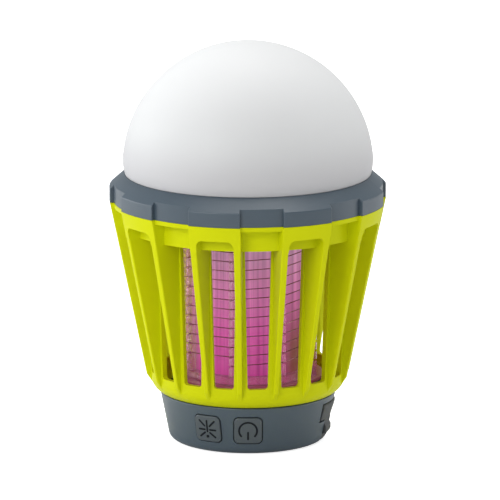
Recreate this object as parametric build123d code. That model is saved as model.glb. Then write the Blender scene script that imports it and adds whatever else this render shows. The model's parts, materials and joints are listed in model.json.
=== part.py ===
from build123d import *
from math import atan2, ceil, cos, degrees, radians, sin, sqrt, tan
import os

# Rechargeable camping lantern with a mosquito zapper in its cage. It stands on its base, or
# hangs upside down from the hook folded into the base. Millimetres, +Z up, origin at the middle
# of the bottom face, -Y is the front, midway between the two buttons. Angles round the lantern
# are counted from the front towards +X.

# ---------------------------------------------------------------- driving dimensions
TOTAL_HEIGHT = 131.0
COLLAR_R = 45.0           # widest part, 90 mm across
WALL = 1.8                # moulded wall thickness
GAP = 0.3                 # running gap between bodies that move apart
PANELS = 9                # repeats round the cage and the collar
PANEL_PITCH = 360.0 / PANELS

# base
BASE_TOP_Z = 16.0
BASE_TOP_R = 28.6
BASE_SLOPE = 0.2          # radius gained per mm of height
BASE_EDGE_R = 2.8         # rounding of the bottom edge
SPIGOT_R = 24.6           # neck that the cage fits over
SPIGOT_TOP_Z = 20.9
CEILING_Z = 14.2          # underside of the base's shoulder
DECK_TOP_Z = 21.8
COVER_R = 22.8
COVER_T = 2.0

# bayonet between base and cage
LUG_R = 26.0
LUG_Z = 19.0
LUG_T = 1.4
LUG_ARC = 24.0
LIP_R = 25.0
LIP_Z = 17.5
LIP_T = 1.2
LIP_ARC = 30.0
BAYONETS = 3
LIP_ANGLE = 60.0          # middle of the first lip, measured from the front
TWIST = 40.0              # turn that locks the cage, one panel pitch

# cage
CAGE_BOTTOM_Z = BASE_TOP_Z + GAP
CAGE_TOP_Z = 79.0
CAGE_BORE_R = 26.4
GASKET_R = (26.6, 27.6)
BOWL_R = 31.7             # outside of the cage's low wall
BOWL_TOP_Z = 21.2         # the bowl's curve ends here
STRIP_TOP_R = 33.0        # outside of the wall strips at the top
STRIP_T = 1.7
WINDOW_Z = 23.0
WINDOW_HALF_LOW = 3.3
WINDOW_HALF_HIGH = 4.4
WINDOW_CORNER_R = 1.0
FIN_ANGLE = 9.7           # each side of a panel's middle
FIN_FOOT_R = 33.1
FIN_FOOT_Z = 21.7
FIN_T_LOW = 1.6
FIN_T_HIGH = 2.4
HEAD_BOTTOM_Z = 74.2
HEAD_HALF_ANGLE = 11.1
BAND_R = 39.5             # recessed band behind the panel heads
BAND_BOTTOM_Z = 70.3
FLANGE_R = 43.7
FLANGE_T = 1.4

# collar
COLLAR_BOTTOM_Z = CAGE_TOP_Z + 0.1
COLLAR_EDGE_Z = 83.8
COLLAR_TOP_Z = 88.05
COLLAR_TOP_R = 40.2
COLLAR_BORE_R = 39.9
COLLAR_LEDGE_Z = 83.4
COLLAR_LEDGE_R = 38.0
COLLAR_FLOOR_T = 1.6
COLLAR_GROOVE_R = (39.7, 41.9)   # hollow that keeps the collar's wall even
RECESS_HALF_ANGLE = 9.0
LAMP_HOLE_R = 23.5

# dome
DOME_R = 40.7
DOME_CENTRE_Z = TOTAL_HEIGHT - DOME_R
DOME_TUCK_Z = 93.5        # the ball shape turns inwards below here
DOME_TUCK_R = 14.0
ROLL_MID_Z = 91.0         # a height half way down the tuck
DOME_SPIGOT_R = 39.6
DOME_BOTTOM_Z = 84.2

# grid and lamps
GRID_SIDES = 8
GRID_R = 22.23            # corner radius of the wires
GRID_PITCH = 3.14         # from one wire to the next
WIRE_R = 0.17
POST_OUT_R = 22.9
POST_IN_R = 20.0
POST_W = 1.2
NOTCH_FLOOR_R = 21.6
NOTCH_H = 0.8
RING_IN_R = 18.8
RING_LOW_TOP_Z = 24.6
RING_HIGH_Z = 73.0
RING_HIGH_TOP_Z = 76.0
FIRST_WIRE_Z = 28.4
TUBE_R = 18.5
TUBE_T = 1.5
LAMP_PLATE_R = 22.6
LAMP_PLATE_TOP_Z = 78.0

# buttons
BUTTON_ANGLE = 14.3       # each side of the front
BUTTON_Z = 8.4
BUTTON_W = 9.0
BUTTON_H = 8.8
BUTTON_CORNER_R = 1.6
BUTTON_PROUD = 0.5
BUTTON_STEM_X = 22.7
ICON_STROKE = 0.6
ICON_DEPTH = 0.3

# charging socket and its rubber flap, on the +X side
PORT_Z = 9.3
PORT_W = 8.1
PORT_H = 3.2
TAB_HALF_W = 7.2
STRAP_HALF_W = 3.3
TAB_LOW_Z = 8.0
TAB_HIGH_Z = 13.6
POCKET_FLOOR_X = 25.3
STRAP_FLOOR_X = 24.2

# things in the base
BOARD_Z = 10.6
BOARD_T = 1.2
BOARD_R = 22.5
CELL_SIZE = (34.0, 27.0, 7.5)
BOSS_R = 2.4
BOSS_PLACES = [(0.0, 20.3), (13.5, -15.2), (-13.5, -15.2)]
PILOT_R = 0.85
LAMP_LEAD_Y = 15.6
GRID_LEAD_X = 6.0
GRID_LEAD_Y = 19.5
LEAD_R = 0.5
LEAD_HOLE_R = 0.7
SCREW_SHANK_R = 0.8
SCREW_HOLE_R = 1.0
RIB_END_R = 25.2
RIB_HALF_T = 0.8
LEDGE_R = 22.0           # what the bottom cover rests against
LEDGE_Z = 2.9

# folding hook in the underside
WELL_TOP_Z = 4.8
WELL_WALL = 1.4
WELL_X = (-16.4, 15.2)
WELL_HALF_Y = 7.2
PIVOT_X = -13.0
PIVOT_Z = 2.6
HOOK_Z = (1.0, 4.2)
HOOK_EYE_R = 1.8
HOOK_PIN_R = 0.8
HOOK_RING_X = 7.6
HOOK_RING_R = 5.3
HOOK_W = 2.6
HOOK_OPEN_ANGLE = 80.0

os.makedirs("parts", exist_ok=True)


# ---------------------------------------------------------------- helpers
def cone_r(z):
    """Radius of the base's outside at height z."""
    return BASE_TOP_R - (BASE_TOP_Z - z) * BASE_SLOPE


def turned(points, radii=None, arc=360.0):
    """Solid of revolution about Z from (radius, z) points, with optional corner radii."""
    corners = [(r, 0, z) for r, z in points]
    outline = FilletPolyline(*corners, radius=radii or [0] * len(corners), close=True)
    return revolve(make_face(outline), Axis.Z, arc)


def ring(r_in, r_out, z_low, z_high):
    """Plain ring, or a disc where r_in is 0."""
    disc = Pos(0, 0, z_low) * Cylinder(r_out, z_high - z_low, align=(Align.CENTER, Align.CENTER, Align.MIN))
    if r_in > 0:
        disc -= Pos(0, 0, z_low - 1) * Cylinder(
            r_in, z_high - z_low + 2, align=(Align.CENTER, Align.CENTER, Align.MIN))
    return disc


def at_angle(shape, angle):
    """Turn a shape built along +X so that it points at an angle counted from the front."""
    return Rot(0, 0, angle - 90) * shape


def block(x, y, z):
    """Box between two corners, each given as a (low, high) pair."""
    size = (x[1] - x[0], y[1] - y[0], z[1] - z[0])
    return Pos(x[0], y[0], z[0]) * Box(*size, align=(Align.MIN, Align.MIN, Align.MIN))


def sector(r_in, r_out, z_low, z_high, half_angle):
    """Piece of a ring, centred on +X."""
    outline = [(r_in, z_low), (r_out, z_low), (r_out, z_high), (r_in, z_high)]
    return Rot(0, 0, -half_angle) * turned(outline, arc=2 * half_angle)


def rounded_prism(x, width, height, z_mid, corner_r):
    """Bar along X with a rounded rectangular section."""
    section = Plane.YZ.offset(x[0]) * Pos(0, z_mid) * RectangleRounded(width, height, corner_r)
    return extrude(section, x[1] - x[0])


def rod(start, end, radius):
    """Round rod between two points."""
    axis = Vector(*end) - Vector(*start)
    return Plane(origin=start, z_dir=axis) * Cylinder(
        radius, axis.length, align=(Align.CENTER, Align.CENTER, Align.MIN))


def save(name, *solids):
    """Write one node; several separate solids go in as a group."""
    found = [one for solid in solids for one in solid.solids()]
    shape = found[0] if len(found) == 1 else Compound(children=found)
    export_step(shape, f"parts/{name}.step")


# ---------------------------------------------------------------- base
def base_envelope(grow):
    """Cone of the base's side, moved outwards by grow, without its details."""
    outline = [(0, 0), (cone_r(0) + grow, 0), (cone_r(15) + grow, 15), (0, 15)]
    return turned(outline)


def base_shell(grow_in, grow_out):
    """Conical layer of the base between two offsets of its side."""
    return base_envelope(grow_out) - base_envelope(grow_in)


def base_bosses():
    """Three screw bosses, each tied to the wall by a rib."""
    shape = Part()
    for x, y in BOSS_PLACES:
        reach = sqrt(x * x + y * y)
        towards = Vector(x, y).get_signed_angle(Vector(1, 0), Vector(0, 0, 1))
        rib = block((reach, RIB_END_R), (-RIB_HALF_T, RIB_HALF_T), (LEDGE_Z, BOARD_Z - 0.6))
        boss = Pos(reach, 0, COVER_T + 0.1) * Cylinder(
            BOSS_R, BOARD_Z - COVER_T - 0.1, align=(Align.CENTER, Align.CENTER, Align.MIN))
        shape += Rot(0, 0, -towards) * (boss + rib)
    return shape


def base_housing():
    """Tapered cup with the neck, its bayonet lugs, the button openings and the socket's pocket."""
    outside = turned(
        [(0, 0), (cone_r(0), 0), (BASE_TOP_R, BASE_TOP_Z), (SPIGOT_R, BASE_TOP_Z),
         (SPIGOT_R, SPIGOT_TOP_Z), (0, SPIGOT_TOP_Z)],
        [0, BASE_EDGE_R, 0.4, 0, 0.3, 0])
    neck_r = SPIGOT_R - WALL
    seat_r = COVER_R + 0.2
    seat_z = COVER_T + 0.1
    inside = turned(
        [(0, -1), (seat_r, -1), (seat_r, seat_z), (LEDGE_R, seat_z),
         (LEDGE_R, LEDGE_Z), (cone_r(LEDGE_Z) - WALL, LEDGE_Z), (cone_r(CEILING_Z) - WALL, CEILING_Z),
         (neck_r, CEILING_Z), (neck_r, SPIGOT_TOP_Z + 1), (0, SPIGOT_TOP_Z + 1)])
    shape = outside - inside
    shape += base_bosses()
    backing_x = (STRAP_FLOOR_X - 1.0, POCKET_FLOOR_X + 0.4)
    backing_half_w = TAB_HALF_W + 1.6
    backing = block(backing_x, (-backing_half_w, backing_half_w), (LEDGE_Z + 0.1, CEILING_Z + 0.2))
    shape += backing & base_envelope(-0.6)
    for turn in range(BAYONETS):
        lug = sector(SPIGOT_R - 0.6, LUG_R, LUG_Z, LUG_Z + LUG_T, LUG_ARC / 2)
        shape += at_angle(lug, LIP_ANGLE + TWIST + turn * 360 / BAYONETS)
    for side in (-1, 1):
        opening = rounded_prism((20, 32), BUTTON_W + 2 * GAP, BUTTON_H + 2 * GAP, BUTTON_Z,
                                BUTTON_CORNER_R + GAP)
        shape -= at_angle(opening, side * BUTTON_ANGLE)
    shape -= block((POCKET_FLOOR_X, 32), (-TAB_HALF_W - 0.5, TAB_HALF_W + 0.5),
                   (TAB_LOW_Z - 0.4, TAB_HIGH_Z + 0.4))
    shape -= block((STRAP_FLOOR_X, 32), (-STRAP_HALF_W - 0.4, STRAP_HALF_W + 0.4), (-1, TAB_LOW_Z))
    shape -= rounded_prism((20, 27), PORT_W, PORT_H, PORT_Z, 0.6)
    for x, y in BOSS_PLACES:
        shape -= Pos(x, y, 6) * Cylinder(PILOT_R, 12)
    return shape


def bottom_cover():
    """Round cover with the well that the folded hook lies in."""
    cover = Pos(0, 0, COVER_T / 2) * Cylinder(COVER_R, COVER_T)
    cover = fillet(cover.edges().group_by(Axis.Z)[0], 0.4)
    cover += block((WELL_X[0] - WELL_WALL, WELL_X[1] + WELL_WALL),
                   (-WELL_HALF_Y - WELL_WALL, WELL_HALF_Y + WELL_WALL), (0, WELL_TOP_Z + WELL_WALL))
    well = block(WELL_X, (-WELL_HALF_Y, WELL_HALF_Y), (-1, WELL_TOP_Z))
    cover -= fillet(well.edges().filter_by(Axis.Z), 2.0)
    cover -= rod((PIVOT_X, -WELL_HALF_Y - 1.2, PIVOT_Z), (PIVOT_X, WELL_HALF_Y + 1.2, PIVOT_Z), HOOK_PIN_R)
    sink_r = 2.1
    sink_depth = 1.35
    for x, y in BOSS_PLACES:
        cover -= Pos(x, y, 0) * Cylinder(SCREW_HOLE_R, 8)
        cover -= Pos(x, y, 0) * Cone(sink_r, SCREW_HOLE_R, sink_depth,
                                     align=(Align.CENTER, Align.CENTER, Align.MIN))
    return cover


def cover_screw(x, y):
    """Countersunk screw up into a boss, with a cross recess."""
    head_low = 0.3
    head_t = 1.0
    head = Pos(x, y, head_low + head_t / 2) * Cone(1.75, SCREW_SHANK_R, head_t)
    shank = Pos(x, y, head_low + head_t) * Cylinder(
        SCREW_SHANK_R, 5.5, align=(Align.CENTER, Align.CENTER, Align.MIN))
    screw = head + shank
    slot_length = 1.9
    slot_w = 0.45
    for size in ((slot_length, slot_w), (slot_w, slot_length)):
        screw -= Pos(x, y, head_low + 0.2) * Box(*size, 0.7)
    return screw


def board_screw(x, y):
    """Pan head screw that holds the board on its boss."""
    top = BOARD_Z + BOARD_T
    head_t = 1.0
    head = Pos(x, y, top + head_t / 2) * Cylinder(1.6, head_t)
    head = fillet(head.edges().group_by(Axis.Z)[-1], 0.4)
    shank = Pos(x, y, top) * Cylinder(SCREW_SHANK_R, 3.8, align=(Align.CENTER, Align.CENTER, Align.MAX))
    return head + shank


def base_deck():
    """Plate that closes the neck and carries the grid."""
    plate = turned([(0, SPIGOT_TOP_Z - 0.6), (SPIGOT_R - WALL - 0.2, SPIGOT_TOP_Z - 0.6),
                    (SPIGOT_R - WALL - 0.2, SPIGOT_TOP_Z), (SPIGOT_R, SPIGOT_TOP_Z),
                    (SPIGOT_R, DECK_TOP_Z), (0, DECK_TOP_Z)], [0, 0, 0, 0, 0.3, 0])
    for y in (-LAMP_LEAD_Y, LAMP_LEAD_Y):
        plate -= Pos(0, y, DECK_TOP_Z) * Cylinder(LEAD_HOLE_R, 6)
    for x in (-GRID_LEAD_X, GRID_LEAD_X):
        plate -= Pos(x, GRID_LEAD_Y, DECK_TOP_Z) * Cylinder(LEAD_HOLE_R, 6)
    return plate


# ---------------------------------------------------------------- electronics in the base
def main_board():
    """Round printed board on the three bosses."""
    board = ring(0, BOARD_R, BOARD_Z, BOARD_Z + BOARD_T)
    for x, y in BOSS_PLACES:
        board -= Pos(x, y, BOARD_Z) * Cylinder(SCREW_HOLE_R, 6)
    for y in (-LAMP_LEAD_Y, LAMP_LEAD_Y):
        board -= Pos(0, y, BOARD_Z) * Cylinder(LEAD_R + 0.1, 6)
    for x in (-GRID_LEAD_X, GRID_LEAD_X):
        board -= Pos(x, GRID_LEAD_Y, BOARD_Z) * Cylinder(LEAD_R + 0.1, 6)
    return board


def battery_cell():
    """Flat pouch cell above the board."""
    length, width, height = CELL_SIZE
    low = BOARD_Z + BOARD_T + 0.7
    cell = block((-length / 2, length / 2), (-width / 2, width / 2), (low, low + height))
    return fillet(cell.edges().filter_by(Axis.Z), 1.5)


def battery_tape():
    """Double-sided foam that sticks the cell to the board."""
    low = BOARD_Z + BOARD_T
    return block((-14, 14), (-10, 10), (low, low + 0.7))


def usb_socket():
    """Charging socket on the underside of the board, mouth towards +X."""
    shell = rounded_prism((18.7, 24.2), 7.5, 2.6, BOARD_Z - 1.3, 0.5)
    shell -= rounded_prism((19.5, 25.0), 6.9, 2.0, BOARD_Z - 1.3, 0.3)
    tongue = block((19.3, 23.3), (-2.0, 2.0), (BOARD_Z - 1.2, BOARD_Z - 0.8))
    return shell + tongue


def side_switch():
    """Push switch whose plunger faces a button."""
    top = BOARD_Z
    body = block((17.6, 21.2), (-3.0, 3.0), (top - 3.6, top))
    plunger = rod((21.2, 0, BUTTON_Z), (22.0, 0, BUTTON_Z), 0.9)
    return body + plunger


def transformer_core():
    """Ferrite frame of the high-voltage transformer."""
    core = block((-6, 6), (10.2, 16.2), (BOARD_Z - 7.0, BOARD_Z - 0.2))
    core -= block((-3.9, -1.6), (8, 18), (BOARD_Z - 5.6, BOARD_Z - 1.6))
    core -= block((1.6, 3.9), (8, 18), (BOARD_Z - 5.6, BOARD_Z - 1.6))
    return core


def transformer_coil():
    """Taped winding round the core's middle leg."""
    coil = block((-3.8, 3.8), (8.9, 17.5), (BOARD_Z - 5.5, BOARD_Z - 1.7))
    coil = fillet(coil.edges().filter_by(Axis.Z), 0.8)
    return coil - block((-1.7, 1.7), (10.1, 16.3), (BOARD_Z - 6, BOARD_Z - 1))


def film_capacitor(x):
    """High-voltage film capacitor under the board."""
    cap = block((x - 3.2, x + 3.2), (9.2, 12.6), (BOARD_Z - 6.2, BOARD_Z))
    return fillet(cap.edges().filter_by(Axis.Z), 0.8)


def diode(x):
    """Rectifier diode lying under the board."""
    return rod((x - 2.6, 14.6, BOARD_Z - 1.4), (x + 2.6, 14.6, BOARD_Z - 1.4), 1.3)


def control_chip():
    """Charging and lamp control chip."""
    chip = block((-2.6, 2.6), (-13.2, -9.4), (BOARD_Z - 1.6, BOARD_Z))
    return chamfer(chip.edges().group_by(Axis.Z)[0], 0.3)


# ---------------------------------------------------------------- buttons and flap
def button(angle):
    """Square button that follows the base's side, with a flange behind the wall and a stem."""
    behind = WALL + GAP
    cap = rounded_prism((20, 31), BUTTON_W, BUTTON_H, BUTTON_Z, BUTTON_CORNER_R)
    cap &= base_shell(-behind - 1.0, BUTTON_PROUD)
    cap = fillet(cap.faces().sort_by(Axis.X)[-1].edges(), 0.35)
    flange = rounded_prism((20, 31), BUTTON_W + 1.6, BUTTON_H + 1.0, BUTTON_Z, BUTTON_CORNER_R)
    flange &= base_shell(-behind - 1.0, -behind)
    stem = rounded_prism((BUTTON_STEM_X, 25.5), 2.6, 2.6, BUTTON_Z, 0.4)
    return at_angle(cap + flange + stem, angle)


def icon_bar(start, end):
    """Groove for a straight stroke between two (across, up) points on the button's face."""
    (y1, z1), (y2, z2) = start, end
    length = sqrt((y2 - y1) ** 2 + (z2 - z1) ** 2)
    tilt = degrees(atan2(z2 - z1, y2 - y1))
    middle = Pos((y1 + y2) / 2, (z1 + z2) / 2) * Rot(0, 0, tilt)
    return middle * SlotOverall(length + ICON_STROKE, ICON_STROKE)


def engrave(shape, sketch, angle):
    """Sink a flat icon into a button's curved face by a fixed depth."""
    cutter = extrude(Plane.YZ.offset(22) * Pos(0, BUTTON_Z) * sketch, 9)
    cutter &= base_shell(BUTTON_PROUD - ICON_DEPTH, BUTTON_PROUD + 2)
    return shape - at_angle(cutter, angle)


def power_button():
    """Button with the power sign, which is the right way up when the lantern hangs."""
    gap_half = 45.0
    arc_r = 2.9
    arc = Circle(arc_r + ICON_STROKE / 2) - Circle(arc_r - ICON_STROKE / 2)
    reach = 6.0
    arc -= make_face(Polyline((0, 0), (-reach * tan(radians(gap_half)), -reach),
                              (reach * tan(radians(gap_half)), -reach), close=True))
    bar = icon_bar((0, -0.6), (0, -2.9))
    return engrave(engrave(button(BUTTON_ANGLE), arc, BUTTON_ANGLE), bar, BUTTON_ANGLE)


def zap_button():
    """Button with a plain insect: a body, a head and three legs each side."""
    insect = icon_bar((0, -1.0), (0, 2.7))
    insect += Pos(0, -2.6) * Circle(0.45)
    for side in (-1, 1):
        insect += icon_bar((side * 0.9, 0.9), (side * 2.7, 2.7))
        insect += icon_bar((side * 0.9, -0.35), (side * 2.9, -0.35))
        insect += icon_bar((side * 0.9, -1.35), (side * 2.7, -2.8))
    return engrave(button(-BUTTON_ANGLE), insect, -BUTTON_ANGLE)


def usb_flap():
    """Rubber flap: finger tab, waist and knuckle, with a strap that bends at its foot."""
    top = turned([(25.6, TAB_LOW_Z), (26.9, TAB_LOW_Z), (28.35, 12.7), (28.3, TAB_HIGH_Z),
                  (25.6, TAB_HIGH_Z)], [0, 0, 0.8, 0.5, 0])
    top &= block((25.6, 30), (-TAB_HALF_W, TAB_HALF_W), (0, 20))
    middle = turned([(24.4, 2.7), (26.9, 3.0), (27.05, 5.6), (26.35, 6.5), (26.8, 8.3), (24.4, 8.3)],
                    [0, 0.6, 0.7, 0.6, 0, 0])
    middle &= block((24.6, 30), (-STRAP_HALF_W, STRAP_HALF_W), (0, 20))
    tail = turned([(24.3, 1.0), (25.1, 1.0), (25.35, 3.2), (24.3, 3.2)], [0, 0.3, 0, 0])
    tail &= block((24.6, 30), (-STRAP_HALF_W + 0.3, STRAP_HALF_W - 0.3), (0, 20))
    plug = rounded_prism((25.05, 26.0), PORT_W - 0.7, PORT_H - 0.7, PORT_Z, 0.4)
    return top + middle + tail + plug


# ---------------------------------------------------------------- hook
def hang_hook():
    """Flat hook folded into the base: an eye on the pin, an arm and an open ring."""
    thickness = HOOK_Z[1] - HOOK_Z[0]
    outline = Pos(HOOK_RING_X, 0) * (Circle(HOOK_RING_R + HOOK_W / 2) - Circle(HOOK_RING_R - HOOK_W / 2))
    reach = 12.0
    half = radians(HOOK_OPEN_ANGLE / 2)
    mouth = make_face(Polyline((0, 0), (reach * cos(half), reach * sin(half)),
                               (reach * cos(half), -reach * sin(half)), close=True))
    outline -= Pos(HOOK_RING_X, 0) * Rot(0, 0, -55) * mouth
    for end_angle in (-55 - HOOK_OPEN_ANGLE / 2, -55 + HOOK_OPEN_ANGLE / 2):
        tip = (HOOK_RING_X + HOOK_RING_R * cos(radians(end_angle)), HOOK_RING_R * sin(radians(end_angle)))
        outline += Pos(*tip) * Circle(HOOK_W / 2)
    neck_x = HOOK_RING_X - HOOK_RING_R
    outline += Pos((PIVOT_X + neck_x) / 2, 0) * Rectangle(neck_x - PIVOT_X, 5.0)
    hook = extrude(Pos(0, 0, HOOK_Z[0]) * outline, thickness)
    hook -= Pos(PIVOT_X, 0, PIVOT_Z) * Box(2 * HOOK_EYE_R, 6, 6)
    hook -= block((PIVOT_X - 4, PIVOT_X), (-4, 4), (-1, 6))
    eye = rod((PIVOT_X, -2.5, PIVOT_Z), (PIVOT_X, 2.5, PIVOT_Z), HOOK_EYE_R)
    hook += eye + block((PIVOT_X, PIVOT_X + 2.2), (-2.5, 2.5), (HOOK_Z[0] + 0.1, HOOK_Z[1]))
    return hook - rod((PIVOT_X, -4, PIVOT_Z), (PIVOT_X, 4, PIVOT_Z), HOOK_PIN_R + 0.06)


def hook_pin():
    """Steel pin across the well."""
    reach = WELL_HALF_Y + 1.1
    return rod((PIVOT_X, -reach, PIVOT_Z), (PIVOT_X, reach, PIVOT_Z), HOOK_PIN_R - 0.01)


# ---------------------------------------------------------------- grid and lamps
def octagon(radius):
    """Octagon with a corner towards the front."""
    return RegularPolygon(radius, GRID_SIDES)


def grid_ring(z_low, z_high):
    """Octagonal end ring of the grid."""
    return extrude(Pos(0, 0, z_low) * (octagon(POST_OUT_R) - Circle(RING_IN_R)), z_high - z_low)


def wire_height(corner, start):
    """Height of a wire at a corner counted along its winding."""
    return start + corner * 2 * GRID_PITCH / GRID_SIDES


def grid_post(side):
    """Upright rib with a notch for each wire that crosses it."""
    post = block((POST_IN_R, POST_OUT_R), (-POST_W / 2, POST_W / 2), (RING_LOW_TOP_Z, RING_HIGH_Z))
    lowest = wire_height(side, FIRST_WIRE_Z)
    lowest -= GRID_PITCH * ceil((lowest - RING_LOW_TOP_Z - 2.0) / GRID_PITCH - 1)
    count = int((RING_HIGH_Z - 1.5 - lowest) / GRID_PITCH) + 1
    for step in range(count):
        middle = lowest + step * GRID_PITCH
        post -= block((NOTCH_FLOOR_R, POST_OUT_R + 1), (-POST_W, POST_W),
                      (middle - NOTCH_H / 2, middle + NOTCH_H / 2))
    return at_angle(post, side * 360 / GRID_SIDES)


def grid_wire(first_side):
    """One bare wire wound round the posts in straight spans."""
    corners = int((RING_HIGH_Z - 2.0 - FIRST_WIRE_Z) / (2 * GRID_PITCH / GRID_SIDES))
    points = []
    for corner in range(corners + 1):
        angle = radians((first_side + corner) * 360 / GRID_SIDES - 90)
        height = wire_height(corner, FIRST_WIRE_Z)
        points.append((GRID_R * cos(angle), GRID_R * sin(angle), height))
    path = Polyline(*points)
    section = Plane(origin=path @ 0, z_dir=path % 0) * RegularPolygon(WIRE_R, 8)
    return sweep(section, path=path, transition=Transition.RIGHT)


def light_tube():
    """Frosted tube in the middle of the grid, lit from inside."""
    return ring(TUBE_R - TUBE_T, TUBE_R, DECK_TOP_Z, RING_HIGH_TOP_Z)


def uv_board():
    """Board that stands in the tube."""
    return block((-6, 6), (-0.8, 0.8), (DECK_TOP_Z, 72))


def uv_leds():
    """Four ultraviolet lamps on each face of the board."""
    leds = []
    for row in range(4):
        middle = 30.0 + row * 11.0
        for side in (-1, 1):
            lamp = block((-2.5, 2.5), (0.8, 2.4), (middle - 2.5, middle + 2.5))
            leds.append(lamp if side == 1 else Rot(0, 0, 180) * lamp)
    return leds


def lamp_plate():
    """Disc on the grid's upper ring that carries the white lamps."""
    plate = ring(0, LAMP_PLATE_R, RING_HIGH_TOP_Z, LAMP_PLATE_TOP_Z)
    for y in (-LAMP_LEAD_Y, LAMP_LEAD_Y):
        plate -= Pos(0, y, LAMP_PLATE_TOP_Z) * Cylinder(LEAD_HOLE_R, 6)
    return plate


def white_leds():
    """Ring of white lamps and one in the middle."""
    top = LAMP_PLATE_TOP_Z + 1.2
    leds = [block((-1.75, 1.75), (-1.75, 1.75), (top, top + 0.9))]
    for step in range(8):
        lamp = block((12.25, 15.75), (-1.4, 1.4), (top, top + 0.9))
        leds.append(at_angle(lamp, 22.5 + step * 45))
    return leds


# ---------------------------------------------------------------- cage
def fin_edge_r(z):
    """Radius of the fins' outer edge, which is also the face of the panel heads."""
    slope = (COLLAR_R - FIN_FOOT_R) / (CAGE_TOP_Z - FIN_FOOT_Z)
    return FIN_FOOT_R + (z - FIN_FOOT_Z) * slope


def cage_wall():
    """Bowl at the foot of the cage, carried up as a thin wall."""
    drop = BOWL_TOP_Z - CAGE_BOTTOM_Z
    step = BOWL_R - BASE_TOP_R
    curve_r = (drop * drop + step * step) / (2 * step)
    centre = (BOWL_R - curve_r, BOWL_TOP_Z)
    outer_swing = radians(30)
    outer_mid = (centre[0] + curve_r * cos(outer_swing), 0, centre[1] - curve_r * sin(outer_swing))
    inner_r = curve_r - STRIP_T
    inner_low_z = centre[1] - sqrt(inner_r ** 2 - (CAGE_BORE_R - centre[0]) ** 2)
    inner_swing = radians(40)
    inner_mid = (centre[0] + inner_r * cos(inner_swing), 0, centre[1] - inner_r * sin(inner_swing))
    bottom_out = (BASE_TOP_R, 0, CAGE_BOTTOM_Z)
    bowl_out = (BOWL_R, 0, BOWL_TOP_Z)
    top_out = (STRIP_TOP_R, 0, CAGE_TOP_Z - 0.5)
    top_in = (STRIP_TOP_R - STRIP_T, 0, CAGE_TOP_Z - 0.5)
    bowl_in = (BOWL_R - STRIP_T, 0, BOWL_TOP_Z)
    bore_top = (CAGE_BORE_R, 0, inner_low_z)
    bore_low = (CAGE_BORE_R, 0, CAGE_BOTTOM_Z)
    outline = [
        ThreePointArc(bottom_out, outer_mid, bowl_out), Line(bowl_out, top_out), Line(top_out, top_in),
        Line(top_in, bowl_in), ThreePointArc(bowl_in, inner_mid, bore_top), Line(bore_top, bore_low),
        Line(bore_low, bottom_out)]
    return revolve(make_face(Curve() + outline), Axis.Z)


def wall_window():
    """Opening in the wall, a little wider at the top."""
    high = CAGE_TOP_Z - 3.0
    outline = [(-WINDOW_HALF_LOW, WINDOW_Z), (WINDOW_HALF_LOW, WINDOW_Z),
               (WINDOW_HALF_HIGH, high), (-WINDOW_HALF_HIGH, high)]
    corner = WINDOW_CORNER_R
    section = FilletPolyline(*[(0, y, z) for y, z in outline], radius=[corner, corner, 0, 0], close=True)
    return extrude(Pos(28, 0, 0) * make_face(section), 8, dir=(1, 0, 0))


def fin():
    """Deep radial fin, thicker at the top, with a rounded outer edge."""
    inner_low = (BOWL_R - 1.0, 20.2)
    tip = (BOWL_R - 0.6, 18.8)
    foot = (FIN_FOOT_R, FIN_FOOT_Z)
    head = (COLLAR_R, CAGE_TOP_Z)
    inner_high = (STRIP_TOP_R - 1.0, CAGE_TOP_Z)
    outline = FilletPolyline(*[(x, 0, z) for x, z in (tip, foot, head, inner_high, inner_low)],
                             radius=[0, 0.8, 0, 0, 0], close=True)
    plate = extrude(make_face(outline), 3, both=True)
    taper = Polyline((0, -FIN_T_LOW / 2, 18), (0, FIN_T_LOW / 2, 18), (0, FIN_T_HIGH / 2, 80),
                     (0, -FIN_T_HIGH / 2, 80), close=True)
    plate &= extrude(Pos(28, 0, 0) * make_face(taper), 20, dir=(1, 0, 0))
    slanted = [edge for edge in plate.edges()
               if edge.length > 40 and edge.center().X > 36]
    return fillet(slanted, 0.45)


def panel_head():
    """Curved plate that joins a panel's two fins under the collar, with a rounded window top."""
    low = HEAD_BOTTOM_Z - 4.0
    outline = [(fin_edge_r(low) - WALL, low), (fin_edge_r(low), low), (COLLAR_R, CAGE_TOP_Z),
               (COLLAR_R - WALL, CAGE_TOP_Z)]
    head = Rot(0, 0, -HEAD_HALF_ANGLE) * turned(outline, arc=2 * HEAD_HALF_ANGLE)
    half = COLLAR_R * sin(radians(FIN_ANGLE)) - FIN_T_HIGH / 2 - 0.25
    section = FilletPolyline((0, -half, low - 5), (0, half, low - 5), (0, half, HEAD_BOTTOM_Z),
                             (0, -half, HEAD_BOTTOM_Z), radius=[0, 0, 2.0, 2.0], close=True)
    return head - extrude(Pos(36, 0, 0) * make_face(section), 14, dir=(1, 0, 0))


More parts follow.
